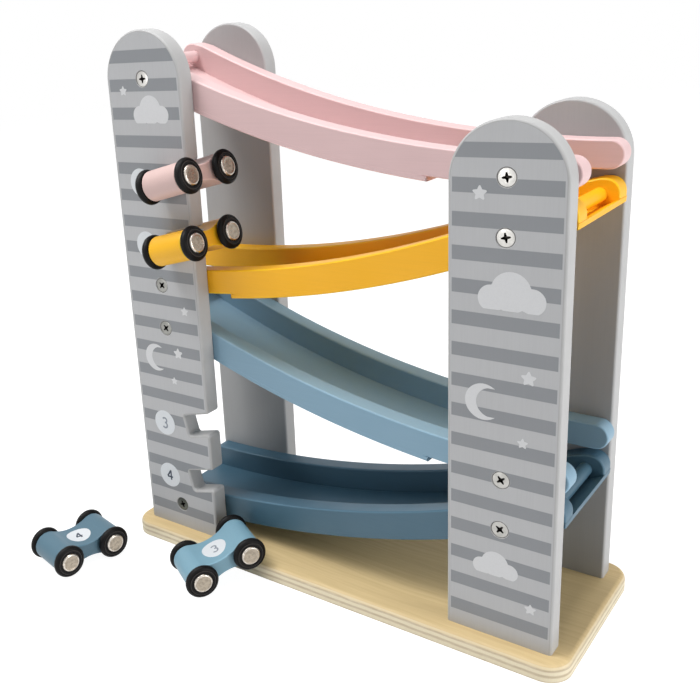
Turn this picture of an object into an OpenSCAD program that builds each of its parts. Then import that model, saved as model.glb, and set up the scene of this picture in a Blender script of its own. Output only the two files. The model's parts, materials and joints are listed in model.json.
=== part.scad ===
// Wooden racing track: a zigzag of four curved ramps held between four striped
// uprights on a plywood base, with parking notches in one upright and four
// small wooden cars on steel axles.
// The origin is the centre of the base's underside. +X runs along the track to
// the lower pair of uprights, +Y to the back, +Z up.

/* [Base] */
// Length of the base along the track
base_length = 278; // [240:1:340]
// Depth of the base, front to back
base_width = 106; // [95:0.5:150]
// Thickness of the base board
base_thick = 9; // [6:0.5:15]
// Radius of the base's corners seen from above
base_corner = 12.5; // [4:0.5:30]

/* [Uprights] */
// Distance over both pairs of uprights, along the track
post_span = 260; // [235:1:300]
// Width of each upright
post_width = 54; // [50:0.5:70]
// Thickness of each upright
post_thick = 10.5; // [9.5:0.1:11]
// Height of the left uprights above the base
left_height = 300; // [298:1:340]
// Height of the right uprights above the base
right_height = 254; // [252:1:340]
// Room between the front and the back uprights, filled by the ramps
bay = 66.5; // [58:0.5:75]

/* [Parking notches] */
// Height of the slot that a car's waist goes in
notch_high = 13; // [11.5:0.1:14]
// Depth of the slot, measured along it
notch_deep = 18; // [15:0.5:22]
// How far the slot slopes down towards its closed end, in degrees
notch_tilt = 14.5; // [5:0.5:20]
// Height of the lowest slot's mouth above the base
notch_low_z = 39; // [34:0.5:45]
// Height of the third slot's mouth above the base
notch_upper_z = 187; // [183:0.5:190]
// Distance between the two slots of a pair
notch_pitch = 36.5; // [33:0.5:40]
// Radius of the slot's inner corners
notch_corner = 1.5; // [0.5:0.1:3]

/* [Ramps] */
// Thickness of the side rails
rail_thick = 10.5; // [7:0.5:11]
// Height of the side rails above the ramp's floor
rail_high = 13.8; // [12:0.1:17]
// Thickness of the bent floor under the rails
floor_thick = 2.5; // [2:0.1:4]
// Radius of the bend, at the floor's underside
bend_r = 596; // [570:1:640]
// Distance from a ramp to the next one down
ramp_pitch = 71.2; // [70:0.2:72]
// Room between the base and the lowest ramp's lowest point
ramp_clear = 6.5; // [4:0.5:10]
// How far the rails pass the uprights at a ramp's low end
low_past = 1.5; // [0.5:0.1:3]
// How far the rails pass the uprights at a ramp's high end
high_past = 0.5; // [0.5:0.1:3]
// Distance from a ramp's low end to its lowest point
low_point = 6.5; // [3:0.5:30]
// Length of the gap that cars drop through at a ramp's low end
drop_gap = 71; // [50:1:80]
// Height of the rails' flat top at the high end, above the ramp's lowest point
flat_top = 69.7; // [68:0.1:72]
// Radius of the rails' rounded end, low end
low_round = 7; // [2:0.5:7]
// Radius of the rails' rounded corner, high end
high_round = 7; // [2:0.5:8]

/* [Stop dowels] */
// Diameter of the dowel across each ramp's high end
dowel_d = 7; // [5:0.5:8]
// Distance of the dowel from the rails' high end
dowel_in = 9.5; // [8:0.5:14]
// Height of the dowel above the ramp's lowest point
dowel_up = 61.9; // [61.5:0.1:62.5]
// Depth of the dowel's holes in the rails
dowel_sink = 5; // [3:0.5:6]

/* [Screws] */
// Diameter of the screws' shanks
shank_d = 3.5; // [3:0.1:4]
// Diameter of the screws' heads
head_d = 8.4; // [7:0.1:9]
// Length of the screws through the uprights into the rails
ramp_screw = 17; // [14:0.5:17.5]
// How far those screws sit below the rails' middle at a ramp's high end
high_screw_drop = 1.4; // [0:0.1:4]
// How far those screws sit below the rails' middle at a ramp's low end
low_screw_drop = 0.7; // [0:0.1:4]
// Length of the screws through the base into the uprights
base_screw = 26; // [22:0.5:28]
// Distance between the two screws under each upright
base_screw_gap = 26; // [18:1:30]
// How deep the heads sit below the surface
head_sunk = 0.3; // [0.1:0.1:0.6]
// Length of the screws' points
tip_long = 3; // [2:0.1:5]
// Radius of the point's blunt end
tip_r = 0.4; // [0.2:0.1:0.8]
// Span of the cross in the screws' heads
cross_span = 4.2; // [3.5:0.1:4.6]
// Width of the cross's arms
cross_wide = 1.1; // [0.8:0.1:1.4]
// Depth of the cross
cross_deep = 1.5; // [1:0.1:2]

/* [Cars] */
// Distance between a car's axles
wheelbase = 31; // [30.8:0.1:32]
// Radius of the tyres
wheel_r = 9.8; // [9.2:0.1:9.9]
// Width of the tyres
tyre_width = 4.5; // [4:0.1:6]
// Width of the car's wooden body
body_width = 24.8; // [22:0.2:26]
// Radius of the body's round ends
lobe_r = 8.4; // [7:0.1:8.8]
// Thickness of the body's waist
waist = 9; // [7:0.1:9.5]
// Radius of the metal hubs
hub_r = 5.6; // [4:0.1:6.5]
// How far the hubs stand out of the tyres
hub_proud = 0.7; // [0:0.1:1.2]
// Diameter of the axles
axle_d = 3; // [2:0.1:4]
// Depth of the axle's hole in each hub
hub_bore = 3.6; // [2.5:0.1:4]

/* [Where the loose cars stand] */
// Light blue car's middle, from the front left upright's inner edge
blue_past = 17.4; // [14:0.2:26]
// Light blue car's middle, in front of the base
blue_front = 12.5; // [10.5:0.1:14.5]
// Light blue car, heading in degrees
blue_turn = 59; // [50:1:70]
// Petrol blue car's middle, to the left of the base
petrol_past = 7; // [1:0.5:31]
// Petrol blue car's middle, in front of the base
petrol_front = 40.9; // [36.5:0.1:66.5]
// Petrol blue car, heading in degrees
petrol_turn = 76.5; // [60:0.5:90]

/* [Fits] */
// Running clearance of the axles in the bodies, on the radius
run_clear = 0.06; // [0.02:0.01:0.1]
// Clearance of screws and dowels in their holes, on the radius
hole_clear = 0.05; // [0.02:0.01:0.1]
// Gap between a wheel and its car's body
side_gap = 0.3; // [0.2:0.1:0.8]
// Gap under a resting or parked car
rest_gap = 0.3; // [0.2:0.1:0.6]
// Gap between a parked car and the slot's closed end
end_gap = 0.5; // [0.3:0.1:1]
// Free length at each end of a dowel in its holes
dowel_play = 0.2; // [0.1:0.1:0.5]

/* [Hidden] */
$fn = 64;
arc_fn = 720;
// How far a cut runs past the face that it opens
past = 1;
// The number of ramps
ramps = 4;
// Outer edges of the track, front to back and left to right
deep = bay + 2 * post_thick;
x_left = -post_span / 2;
y_front = -deep / 2;
// Ramp lengths in the ramp's own plane: u runs from the high side's edge
u_high = -high_past;
u_low = post_span + low_past;
u_mid = u_low - low_point;
rail_r = bend_r - floor_thick;
top_r = rail_r - rail_high;
floor_end = u_low - drop_gap;
// How far a notch's cut runs past the upright's edge, and a ramp's beyond its arc
notch_out = 5;
below = 5;
// Car shape
half_base = wheelbase / 2;
waist_r = (pow(half_base, 2) + pow(waist / 2, 2) - pow(lobe_r, 2)) / (2 * (lobe_r - waist / 2));
waist_z = waist / 2 + waist_r;
blend = lobe_r / (lobe_r + waist_r);
hub_in = body_width / 2 + side_gap;
hub_out = hub_in + tyre_width + hub_proud;
head_deep = (head_d - shank_d) / 2;
// Height of an arc of radius r above the ramp's lowest point
function arc_z(r, u) = bend_r - sqrt(r * r - pow(u - u_mid, 2));
// Middle of a rail's height
function rail_mid(u) = (arc_z(rail_r, u) + arc_z(top_r, u)) / 2;
// Lowest point of ramp i, counted from the top, above the base's underside
function ramp_z(i) = base_thick + ramp_clear + (ramps - 1 - i) * ramp_pitch;
// Distance from ramp i's high side to the middle of the uprights on side s
function post_u(i, s) = i % 2 == s ? post_width / 2 : post_span - post_width / 2;
function screw_drop(i, s) = i % 2 == s ? high_screw_drop : low_screw_drop;
// Height of the screw through the uprights on side s into ramp i
function screw_z(i, s) = ramp_z(i) + rail_mid(post_u(i, s)) - screw_drop(i, s);
// Middle of the uprights on side s
function post_x(s) = (s == 0 ? -1 : 1) * (post_span - post_width) / 2;
// Height of notch n's mouth, counted from the bottom
function notch_z(n) = base_thick + (n < 2 ? notch_low_z : notch_upper_z) + (n % 2) * notch_pitch;
// Half the waist's thickness at a distance l from its middle
function waist_half(l) = waist_z - sqrt(waist_r * waist_r - l * l);
// How far a parked car's middle lies inside the notch's mouth and below its axis
park_in = notch_deep - end_gap - body_width / 2;
park_down = notch_high / 2 - waist_half(post_thick / 2) - rest_gap;
// How much higher the light blue car's front wheels stand than its rear ones
step_up = base_thick + rest_gap;

// Birch plywood board with rounded corners, drilled from below for the uprights
module base() {
  color([0.88, 0.78, 0.59])
  difference() {
    linear_extrude(base_thick) board_outline();
    at_base_screws() screw_hole(base_screw);
  }
}

module board_outline() {
  l = base_length / 2 - base_corner;
  w = base_width / 2 - base_corner;
  square([2 * l, base_width], center = true);
  square([base_length, 2 * w], center = true);
  for (x = [-l, l], y = [-w, w]) translate([x, y]) circle(base_corner);
}

// Two screws stand head down under each upright
module at_base_screws() {
  for (s = [0, 1], y = [-1, 1], k = [-1, 1])
    translate([post_x(s) + k * base_screw_gap / 2, y * (bay + post_thick) / 2, head_sunk])
      rotate([180, 0, 0]) children();
}

// Painted board with a round top; side is 0 left or 1 right, face is -1 front or 1 back
module upright(side, face, notched) {
  h = side == 0 ? left_height : right_height;
  color([0.72, 0.73, 0.73])
  difference() {
    translate([post_x(side), face * (deep / 2) + (face < 0 ? post_thick : 0), base_thick])
      rotate([90, 0, 0]) linear_extrude(post_thick) upright_outline(h, notched);
    at_ramp_screws(side, face) screw_hole(ramp_screw);
    at_base_screws() screw_hole(base_screw);
  }
}

module upright_outline(h, notched) {
  difference() {
    union() {
      translate([-post_width / 2, 0]) square([post_width, h - post_width / 2]);
      translate([0, h - post_width / 2]) circle(post_width / 2, $fn = 128);
    }
    if (notched)
      for (n = [0:3]) translate([post_width / 2, notch_z(n) - base_thick]) rotate(notch_tilt) notch();
  }
}

// The slot runs from its mouth at the origin towards -X
module notch() {
  r = notch_corner;
  translate([-notch_deep + r, -notch_high / 2]) square([notch_deep + notch_out, notch_high]);
  translate([-notch_deep, -notch_high / 2 + r]) square([r, notch_high - 2 * r]);
  for (k = [-1, 1]) translate([-notch_deep + r, k * (notch_high / 2 - r)]) circle(r);
}

// The screws through one upright, heads at its outer face
module at_ramp_screws(side, face) {
  for (i = [0:ramps - 1])
    translate([post_x(side), face * (deep / 2 - head_sunk), screw_z(i, side)])
      rotate([face > 0 ? -90 : 90, 0, 0]) children();
}

// Countersunk wood screw along -Z, its head's top at the origin
module screw(long) {
  color([0.75, 0.74, 0.71])
  difference() {
    union() {
      translate([0, 0, -head_deep]) cylinder(r1 = shank_d / 2, r2 = head_d / 2, h = head_deep);
      translate([0, 0, tip_long - long]) cylinder(d = shank_d, h = long - tip_long - head_deep);
      translate([0, 0, -long]) cylinder(r1 = tip_r, r2 = shank_d / 2, h = tip_long);
    }
    for (a = [0, 90]) rotate(a) translate([-cross_span / 2, -cross_wide / 2, -cross_deep])
      cube([cross_span, cross_wide, cross_deep + past]);
  }
}

module screw_hole(long) {
  g = hole_clear;
  translate([0, 0, -head_deep]) cylinder(r1 = shank_d / 2 + g, r2 = head_d / 2 + g, h = head_deep);
  translate([0, 0, -long - past]) cylinder(d = shank_d + 2 * g, h = long + past);
  cylinder(d = head_d + 2 * g, h = head_sunk + past);
}

// Places ramp i: odd ramps are turned round
module at_ramp(i) {
  translate([i % 2 == 0 ? x_left : -x_left, 0, ramp_z(i)]) mirror([i % 2, 0, 0]) children();
}

// Part of a ring between two radii, from u0 to u1
module bent_strip(r_out, r_in, u0, u1) {
  intersection() {
    translate([u_mid, bend_r]) difference() {
      circle(r_out, $fn = arc_fn);
      circle(r_in, $fn = arc_fn);
    }
    translate([u0, -below]) square([u1 - u0, flat_top + below]);
  }
}

// What a rounded corner takes away: the corner points towards (+X, +Y)
module corner_waste(r) {
  difference() {
    square(r + past);
    circle(r);
  }
}

module rail_outline() {
  lo = arc_z(rail_r, u_low);
  hi = arc_z(top_r, u_low);
  difference() {
    bent_strip(rail_r, top_r, u_high, u_low);
    translate([u_low - low_round, hi - low_round]) corner_waste(low_round);
    translate([u_low - low_round, lo + low_round]) mirror([0, 1]) corner_waste(low_round);
    translate([u_high + high_round, flat_top - high_round]) mirror([1, 0]) corner_waste(high_round);
  }
}

// Side rail of ramp i: face is -1 front or 1 back
module rail(i, face, tint) {
  y_in = face < 0 ? -bay / 2 + rail_thick : bay / 2 - rail_thick;
  color(tint)
  difference() {
    at_ramp(i) translate([0, face < 0 ? y_in : bay / 2, 0])
      rotate([90, 0, 0]) linear_extrude(rail_thick) rail_outline();
    at_ramp(i) at_dowel() cylinder(r = dowel_d / 2 + hole_clear, h = dowel_long(), center = true);
    at_ramp_screws(0, face) screw_hole(ramp_screw);
    at_ramp_screws(1, face) screw_hole(ramp_screw);
  }
}

module at_dowel() {
  translate([u_high + dowel_in, 0, dowel_up]) rotate([90, 0, 0]) children();
}

function dowel_long() = bay - 2 * rail_thick + 2 * dowel_sink;

// Bent floor of ramp i: the lowest ramp's floor runs to its end
module ramp_floor(i, tint) {
  end = i == ramps - 1 ? u_low - low_round / 2 : floor_end;
  color(tint)
  at_ramp(i) translate([0, bay / 2, 0]) rotate([90, 0, 0]) linear_extrude(bay)
    bent_strip(bend_r, rail_r, u_high, end);
}

module dowel(i, tint) {
  color(tint)
  at_ramp(i) at_dowel() cylinder(d = dowel_d, h = dowel_long() - 2 * dowel_play, center = true);
}

// Where the cars stand: 0 pink and 1 yellow are parked, 2 light blue leans on
// the base's edge, 3 petrol blue stands on the ground
module at_car(c) {
  if (c < 2) {
    translate([x_left + post_width, y_front + post_thick / 2, notch_z(3 - c)])
      rotate([0, -notch_tilt, 0]) translate([-park_in, 0, -park_down]) rotate([0, 0, 90]) children();
  } else if (c == 2) {
    translate([x_left + post_width + blue_past, -base_width / 2 - blue_front, wheel_r + step_up / 2])
      rotate([0, 0, blue_turn]) rotate([0, -asin(step_up / wheelbase), 0]) children();
  } else {
    translate([-base_length / 2 - petrol_past, -base_width / 2 - petrol_front, wheel_r])
      rotate([0, 0, petrol_turn]) children();
  }
}

// Bone-shaped body: two round ends blended into a waist, bored for the axles
module car_body(c, tint) {
  tx = half_base * (1 - blend);
  tz = waist_z * blend;
  color(tint)
  at_car(c) rotate([90, 0, 0]) linear_extrude(body_width, center = true) {
    difference() {
      union() {
        for (k = [-1, 1]) translate([k * half_base, 0]) circle(lobe_r);
        difference() {
          square([2 * tx, 2 * tz], center = true);
          for (k = [-1, 1]) translate([0, k * waist_z]) circle(waist_r, $fn = 256);
        }
      }
      for (k = [-1, 1]) translate([k * half_base, 0]) circle(axle_d / 2 + run_clear);
    }
  }
}

// Axle a is the rear one, axle b the front one
module at_axle(c, k) {
  at_car(c) translate([k * half_base, 0, 0]) rotate([90, 0, 0]) children();
}

module axle(c, k) {
  color([0.78, 0.78, 0.76])
  at_axle(c, k) cylinder(d = axle_d, h = 2 * (hub_in + hub_bore), center = true);
}

// Turned metal hubs, blind bored for the axle
module hubs(c, k) {
  color([0.74, 0.70, 0.65])
  at_axle(c, k) for (s = [0, 1]) mirror([0, 0, s]) difference() {
    translate([0, 0, hub_in]) cylinder(r = hub_r, h = hub_out - hub_in);
    translate([0, 0, hub_in - past]) cylinder(d = axle_d, h = hub_bore + past);
  }
}

// Rubber tyres with a round tread, seated on the hubs
module tyres(c, k) {
  color([0.13, 0.13, 0.13])
  at_axle(c, k) for (s = [0, 1]) mirror([0, 0, s])
    translate([0, 0, hub_in]) rotate_extrude($fn = 96) tyre_section();
}

module tyre_section() {
  r = tyre_width / 2;
  translate([hub_r, 0]) square([wheel_r - r - hub_r, tyre_width]);
  translate([wheel_r - r, r]) circle(r);
}

pink = [0.84, 0.72, 0.73];
yellow = [0.95, 0.71, 0.24];
blue = [0.50, 0.65, 0.71];
petrol = [0.31, 0.41, 0.48];

// Which piece to show
base();
upright(0, -1, true);  // upright_front_left
upright(0, 1, false);  // upright_back_left
upright(1, -1, false);  // upright_front_right
upright(1, 1, false);  // upright_back_right
rail(0, -1, pink);  // ramp_1_front_rail
rail(0, 1, pink);  // ramp_1_back_rail
ramp_floor(0, pink);  // ramp_1_floor
dowel(0, pink);  // ramp_1_dowel
rail(1, -1, yellow);  // ramp_2_front_rail
rail(1, 1, yellow);  // ramp_2_back_rail
ramp_floor(1, yellow);  // ramp_2_floor
dowel(1, yellow);  // ramp_2_dowel
rail(2, -1, blue);  // ramp_3_front_rail
rail(2, 1, blue);  // ramp_3_back_rail
ramp_floor(2, blue);  // ramp_3_floor
dowel(2, blue);  // ramp_3_dowel
rail(3, -1, petrol);  // ramp_4_front_rail
rail(3, 1, petrol);  // ramp_4_back_rail
ramp_floor(3, petrol);  // ramp_4_floor
dowel(3, petrol);  // ramp_4_dowel
at_ramp_screws(0, -1) screw(ramp_screw);  // screws_front_left
at_ramp_screws(0, 1) screw(ramp_screw);  // screws_back_left
at_ramp_screws(1, -1) screw(ramp_screw);  // screws_front_right
at_ramp_screws(1, 1) screw(ramp_screw);  // screws_back_right
at_base_screws() screw(base_screw);  // base_screws
car_body(0, [0.92, 0.76, 0.76]);  // pink_car_body
axle(0, -1);  // pink_car_axle_a
hubs(0, -1);  // pink_car_hubs_a
tyres(0, -1);  // pink_car_tyres_a
axle(0, 1);  // pink_car_axle_b
hubs(0, 1);  // pink_car_hubs_b
tyres(0, 1);  // pink_car_tyres_b
car_body(1, [0.98, 0.75, 0.24]);  // yellow_car_body
axle(1, -1);  // yellow_car_axle_a
hubs(1, -1);  // yellow_car_hubs_a
tyres(1, -1);  // yellow_car_tyres_a
axle(1, 1);  // yellow_car_axle_b
hubs(1, 1);  // yellow_car_hubs_b
tyres(1, 1);  // yellow_car_tyres_b
car_body(2, [0.55, 0.70, 0.78]);  // blue_car_body
axle(2, -1);  // blue_car_axle_a
hubs(2, -1);  // blue_car_hubs_a
tyres(2, -1);  // blue_car_tyres_a
axle(2, 1);  // blue_car_axle_b
hubs(2, 1);  // blue_car_hubs_b
tyres(2, 1);  // blue_car_tyres_b
car_body(3, [0.39, 0.53, 0.60]);  // petrol_car_body
axle(3, -1);  // petrol_car_axle_a
hubs(3, -1);  // petrol_car_hubs_a
tyres(3, -1);  // petrol_car_tyres_a
axle(3, 1);  // petrol_car_axle_b
hubs(3, 1);  // petrol_car_hubs_b
tyres(3, 1);  // petrol_car_tyres_b
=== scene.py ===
"""The looks of a wooden racing track toy with four cars, built round its CAD frame.

Lengths are in millimetres until they go into a mesh. The base stands on z = 0,
+X runs towards the lower pair of uprights and +Y to the back.
"""

import json
import math

import bpy
from mathutils import Matrix, Vector
from mathutils.geometry import tessellate_polygon


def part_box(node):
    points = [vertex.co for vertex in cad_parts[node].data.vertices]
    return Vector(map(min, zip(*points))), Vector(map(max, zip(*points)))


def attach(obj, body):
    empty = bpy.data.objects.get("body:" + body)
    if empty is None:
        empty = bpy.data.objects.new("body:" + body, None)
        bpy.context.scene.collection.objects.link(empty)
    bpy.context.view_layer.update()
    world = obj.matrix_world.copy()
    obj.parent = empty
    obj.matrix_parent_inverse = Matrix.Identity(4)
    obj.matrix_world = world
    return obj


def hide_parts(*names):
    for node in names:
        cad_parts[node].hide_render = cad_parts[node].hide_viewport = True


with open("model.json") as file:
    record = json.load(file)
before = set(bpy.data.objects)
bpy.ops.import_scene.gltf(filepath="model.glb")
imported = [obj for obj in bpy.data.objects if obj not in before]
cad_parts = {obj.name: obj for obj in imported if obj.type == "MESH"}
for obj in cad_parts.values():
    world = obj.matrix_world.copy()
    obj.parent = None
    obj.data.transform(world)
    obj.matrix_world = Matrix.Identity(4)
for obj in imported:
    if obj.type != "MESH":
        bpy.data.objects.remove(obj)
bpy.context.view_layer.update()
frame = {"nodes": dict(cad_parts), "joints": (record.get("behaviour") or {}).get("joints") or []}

MM = 0.001
# Faces that meet at a sharper angle than this show a crease
SHARP = math.radians(35)

# Sizes of the base, with the rounding of its lower and its upper edge
BASE_TOP = 9.0
BASE_CORNER = 12.5
BASE_EDGES = (0.3, 3.0)

# Sizes of the uprights; TRACK_HALF is half the length over them
TRACK_HALF = 130.0
POST_WIDTH = 54.0
POST_THICK = 10.5
POST_EDGE = 1.3
NOTCH_MOUTHS = (39.0, 75.5, 187.0, 223.5)
NOTCH_TILT = math.radians(14.5)
NOTCH_HALF = 6.5
NOTCH_DEEP = 18.0
LIP_ROUND = 1.8
NOTCH_ROUND = 1.5
FOOT_ROUND = 0.4

# Bands printed across the front uprights, the lowest one BAND_FIRST above the base
BAND_FIRST = 8.5
BAND_PITCH = 15.24
BAND_HIGH = 6.7
PRINT_MARGIN = 2.2
PRINT_SOFT = 0.2

# Sizes of the ramp screws; a drop is how far one sits below the middle of its rail
HEAD_R = 4.2
HEAD_SUNK = 0.3
HEAD_GAP = 0.27
SHANK_R = 1.75
HOLE_CLEAR = 0.05
SCREW_LONG = 17.0
SCREW_TIP = 3.0
SCREW_SIDES = 40
HIGH_DROP = 1.4
LOW_DROP = 0.7

# Sizes of the ramps; lengths start at the outer edge of the uprights that hold the high end
RAMP_PITCH = 71.2
RAMP_CLEAR = 6.5
RAIL_THICK = 10.5
RAIL_HIGH = 13.8
RAIL_EDGE = 1.0
FLOOR_THICK = 2.5
FLOOR_EDGE = 0.9
BEND_R = 596.0
RAIL_R = BEND_R - FLOOR_THICK
TOP_R = RAIL_R - RAIL_HIGH
RAMP_LOW = 261.5
RAMP_HIGH = -0.5
RAMP_MID = 255.0
FLOOR_END = 190.5
LAST_FLOOR_END = 258.0
FLAT_TOP = 69.7
HIGH_ROUND = 7.0
LOW_ROUND = 6.85
SMALL_ROUND = 0.3
FLOOR_CUT = 0.2
DOWEL_R = 3.5
DOWEL_CUT = 0.5

# Edges within JOINT_NEAR of a glued and painted joint keep only this share of their roundness
JOINED = 0.06
JOINT_NEAR = 0.25

# Sizes of a car; the circles of its waist touch those of its round ends
HALF_BASE = 15.5
BODY_WIDE = 24.8
BODY_EDGE = 0.8
LOBE_R = 8.4
WAIST_R = 24.35
WAIST_MID = math.sqrt((LOBE_R + WAIST_R) ** 2 - HALF_BASE ** 2)
AXLE_HOLE = 1.56
HOLE_CUT = 0.1
TYRE_R = 9.8
TYRE_WIDE = 4.5
HUB_R = 5.6
HUB_ROUND = 1.1
RIDGE_R = 7.45
WHEEL_IN = 12.7
HUB_OUT = 17.9

CARS = ("pink", "yellow", "blue", "petrol")

# The printed discs and numbers, then the depths of the printed films, out from the wood
DISC_R = 8.0
CAR_DISC_R = 7.4
DISC_ACROSS = 18.7
DISC_HEIGHTS = (217.5, 181.3, 69.5, 33.9)
STROKE_HALF = 0.55
INK_LOW = 0.005
DISC_TOP = 0.04
SHAPE_TOP = 0.045
NUMBER_LOW = 0.03
NUMBER_TOP = 0.07

# Blender's names for the nodes that several finishes use
MATH = "ShaderNodeMath"
VECTOR = "ShaderNodeVectorMath"
RANGE = "ShaderNodeMapRange"
MIX = "ShaderNodeMix"
NOISE = "ShaderNodeTexNoise"
SPLIT = "ShaderNodeSeparateXYZ"
JOIN = "ShaderNodeCombineXYZ"
BUMP = "ShaderNodeBump"
MARK = "ShaderNodeAttribute"
SURFACE = "ShaderNodeBsdfPrincipled"
OUTPUT = "ShaderNodeOutputMaterial"

# How far patterns are drawn out along x, y and z
EVEN = (1, 1, 1)
UPRIGHT_GRAIN = (1, 1, 40)
RAIL_GRAIN = (40, 1, 1)
PARKED_GRAIN = (1, 30, 1)

# Finishes


def linear(code):
    """An sRGB hex colour as the linear values that the shaders take."""
    part = [int(code[i:i + 2], 16) / 255 for i in (1, 3, 5)]
    return [v / 12.92 if v <= 0.04045 else ((v + 0.055) / 1.055) ** 2.4 for v in part] + [1.0]


def shade(colour, factor):
    """A linear colour made darker or lighter."""
    return [min(1.0, v * factor) for v in colour[:3]] + [1.0]


def node(tree, kind, inputs=None, out=0, **settings):
    """Adds a node with its settings, its inputs set or linked, and gives one of its outputs."""
    made = tree.nodes.new(kind)
    for name, value in settings.items():
        setattr(made, name, value)
    for name, value in (inputs or {}).items():
        if isinstance(value, bpy.types.NodeSocket):
            tree.links.new(value, made.inputs[name])
        else:
            made.inputs[name].default_value = value
    return made.outputs[out] if made.outputs else None


def material(name):
    """An empty material, its tree and its millimetre coordinates."""
    made = bpy.data.materials.new(name)
    made.use_nodes = True
    made.node_tree.nodes.clear()
    tree = made.node_tree
    where = node(tree, "ShaderNodeTexCoord", out="Object")
    place = node(tree, VECTOR, {0: where, "Scale": 1000.0}, operation="SCALE")
    return made, tree, place


def mottle(tree, place, size, grain=EVEN, low=0.35, high=0.7, detail=3.0):
    """Uneven patches about size mm wide, drawn out along the grain, 0 below low and 1 above high."""
    scale = [1 / (size * g) for g in grain]
    fine = node(tree, VECTOR, {0: place, 1: scale}, operation="MULTIPLY")
    noise = node(tree, NOISE, {"Vector": fine, "Scale": 1.0, "Detail": detail, "Roughness": 0.55})
    return node(tree, RANGE, {0: noise, 1: low, 2: high})


def striped(tree, place, coat, top):
    """Two-tone grey bands printed across an upright: 6.7 mm dark in every 15.24 mm, up to top.

    The print stops 2.2 mm short of the board's two sides.
    """
    axes = node(tree, SPLIT, {0: place}).node.outputs
    across = node(tree, MATH, {0: axes["X"]}, operation="ABSOLUTE")
    across = node(tree, MATH, {0: across, 1: TRACK_HALF - POST_WIDTH / 2}, operation="SUBTRACT")
    across = node(tree, MATH, {0: across}, operation="ABSOLUTE")
    half = POST_WIDTH / 2 - PRINT_MARGIN
    between = node(tree, RANGE, {0: across, 1: half, 2: half + PRINT_SOFT, 3: 1.0, 4: 0.0})
    up = node(tree, MATH, {0: axes["Z"], 1: BASE_TOP + BAND_FIRST}, operation="SUBTRACT")
    below = node(tree, RANGE, {0: up, 1: top, 2: top + PRINT_SOFT, 3: 1.0, 4: 0.0})
    turn = node(tree, MATH, {0: up, 1: BAND_PITCH}, operation="FLOORED_MODULO")
    started = node(tree, RANGE, {0: turn, 1: 0.0, 2: PRINT_SOFT})
    band = node(tree, RANGE, {0: turn, 1: BAND_HIGH, 2: BAND_HIGH + PRINT_SOFT, 3: 1.0, 4: 0.0})
    for limit in (started, below, between):
        band = node(tree, MATH, {0: band, 1: limit}, operation="MULTIPLY")
    return node(tree, MIX, {0: band, 6: coat, 7: linear("#8A8D91")}, 2, data_type="RGBA")


def painted(name, colour, grain, stripes=None):
    """Satin acrylic enamel sprayed on sanded birch: a soft broad shine over a faintly felt grain.

    Birch pores are about 0.1 mm wide. They are drawn 0.55 mm wide, the finest that still shows.
    The spray's orange peel is 0.9 mm, and the coat's thickness drifts over 26 mm, a gun's stroke.
    The rounded edges, and a board's narrow sides as far as its band says, are painted lighter in patches:
    painted highlight, with some wear from handling.
    """
    made, tree, place = material(name)
    paint = linear(colour)
    thin = mottle(tree, place, 26.0)
    fibre = mottle(tree, place, 0.55, grain, 0.42, 0.8, 4.0)
    peel = mottle(tree, place, 0.9, detail=2.0)
    coat = node(tree, MIX, {0: thin, 6: paint, 7: shade(paint, 0.985)}, 2, data_type="RGBA")
    if stripes:
        coat = striped(tree, place, coat, stripes)
    pores = node(tree, RANGE, {0: fibre, 3: 0.0, 4: 0.07})
    coat = node(tree, MIX, {0: pores, 6: coat, 7: shade(paint, 0.4)}, 2, data_type="RGBA")
    # Painted highlight, with some wear: the rounded edges and narrow sides are made lighter in patches
    highlight_and_wear = node(tree, MARK, out="Fac", attribute_name="edge")
    highlight_and_wear = node(tree, MATH, {0: highlight_and_wear, 1: node(tree, RANGE, {0: thin, 3: 0.35, 4: 0.8})},
                  operation="MULTIPLY")
    coat = node(tree, MIX, {0: highlight_and_wear, 6: coat, 7: shade(paint, 1.3)}, 2, data_type="RGBA")
    shape = node(tree, BUMP, {"Height": peel, "Distance": 0.006 * MM, "Strength": 1.0})
    shape = node(tree, BUMP, {"Height": fibre, "Distance": 0.005 * MM, "Strength": 1.0, "Normal": shape})
    rough = node(tree, RANGE, {0: thin, 3: 0.42, 4: 0.52})
    skin = node(tree, SURFACE, {"Base Color": coat, "Roughness": rough, "IOR": 1.49, "Normal": shape})
    node(tree, OUTPUT, {"Surface": skin})
    return made


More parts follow.
